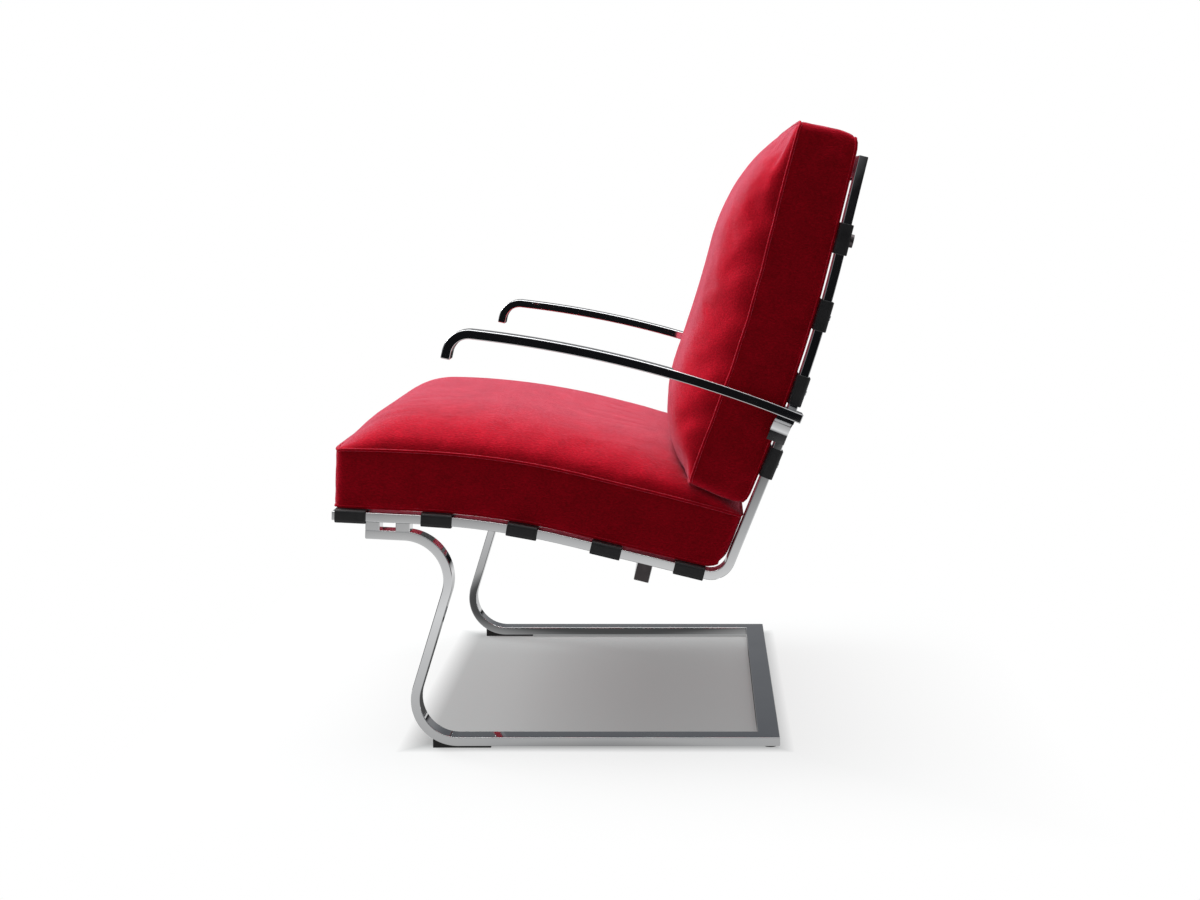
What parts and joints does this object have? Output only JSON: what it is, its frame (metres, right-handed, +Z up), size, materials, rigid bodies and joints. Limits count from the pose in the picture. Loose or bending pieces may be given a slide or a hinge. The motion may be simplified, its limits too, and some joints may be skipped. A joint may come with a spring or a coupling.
{
  "type": "cantilever lounge chair",
  "caption": "Cantilever lounge chair: sprung base and seat frame of flat chromed bar, leather straps, rolled-tip armrests and loose crowned velvet seat and back cushions.",
  "frame": {"origin": "on the floor, below the middle of the chair's bounding box", "axes": "+Z up, the sitter faces -Y, +X is the sitter's left; the plane X = 0 mirrors the chair"},
  "size_m": [0.76, 0.7232, 0.8549],
  "materials": {
    "chrome_bar": "polished",
    "chrome_fasteners": "polished",
    "black_leather": "satin",
    "red_velvet": "matte",
    "cushion_filling": "matte",
    "glide_plastic": "matte"
  },
  "bodies": {
    "base": {"base_runner_left": "chrome_bar", "base_runner_right": "chrome_bar", "base_leg_left": "chrome_bar", "base_leg_right": "chrome_bar", "base_rear_crossbar": "chrome_bar", "front_glide_left": "glide_plastic", "front_glide_right": "glide_plastic", "rear_glide_left": "glide_plastic", "rear_glide_right": "glide_plastic"},
    "seat_frame": {"base_lap_end_left": "chrome_bar", "base_lap_end_right": "chrome_bar", "lap_spacer_1_left": "chrome_bar", "lap_spacer_1_right": "chrome_bar", "lap_spacer_2_left": "chrome_bar", "lap_spacer_2_right": "chrome_bar", "lap_bolts_left": "chrome_fasteners", "lap_bolts_right": "chrome_fasteners", "seat_strap_1": "black_leather", "seat_strap_2": "black_leather", "seat_strap_3": "black_leather", "seat_strap_4": "black_leather", "seat_strap_5": "black_leather", "back_strap_1": "black_leather", "back_strap_2": "black_leather", "back_strap_3": "black_leather", "back_strap_4": "black_leather", "seat_strap_screws": "chrome_fasteners", "back_strap_screws": "chrome_fasteners", "back_strap_studs": "chrome_fasteners", "armrest_left": "chrome_bar", "armrest_right": "chrome_bar", "arm_bracket_left": "chrome_bar", "arm_bracket_right": "chrome_bar", "arm_screws_left": "chrome_fasteners", "arm_screws_right": "chrome_fasteners", "side_rail_left": "chrome_bar", "side_rail_right": "chrome_bar", "seat_front_crossbar": "chrome_bar", "back_top_crossbar": "chrome_bar", "under_seat_crossbar": "chrome_bar"},
    "seat_cushion": {"seat_cushion_cover": "red_velvet", "seat_cushion_core": "cushion_filling"},
    "back_cushion": {"back_cushion_cover": "red_velvet", "back_cushion_core": "cushion_filling"}
  },
  "joints": [
    {"name": "seat_flex", "type": "hinge", "parent": "base", "child": "seat_frame", "pos_m": [0, -0.21372, 0.20022], "axis": [-1, 0, 0], "range_deg": [-1, 3], "stiffness_Nm_per_rad": 4600, "springref_deg": -0.92, "deforming": ["base_leg_left", "base_leg_right"]},
    {"name": "seat_cushion_slide", "type": "slide", "parent": "seat_frame", "child": "seat_cushion", "axis": [0, -0.9537, 0.3007], "range_m": [0, 0.6]},
    {"name": "back_cushion_lift", "type": "slide", "parent": "seat_frame", "child": "back_cushion", "axis": [0, 0.2079, 0.9781], "range_m": [0, 0.6]}
  ]
}
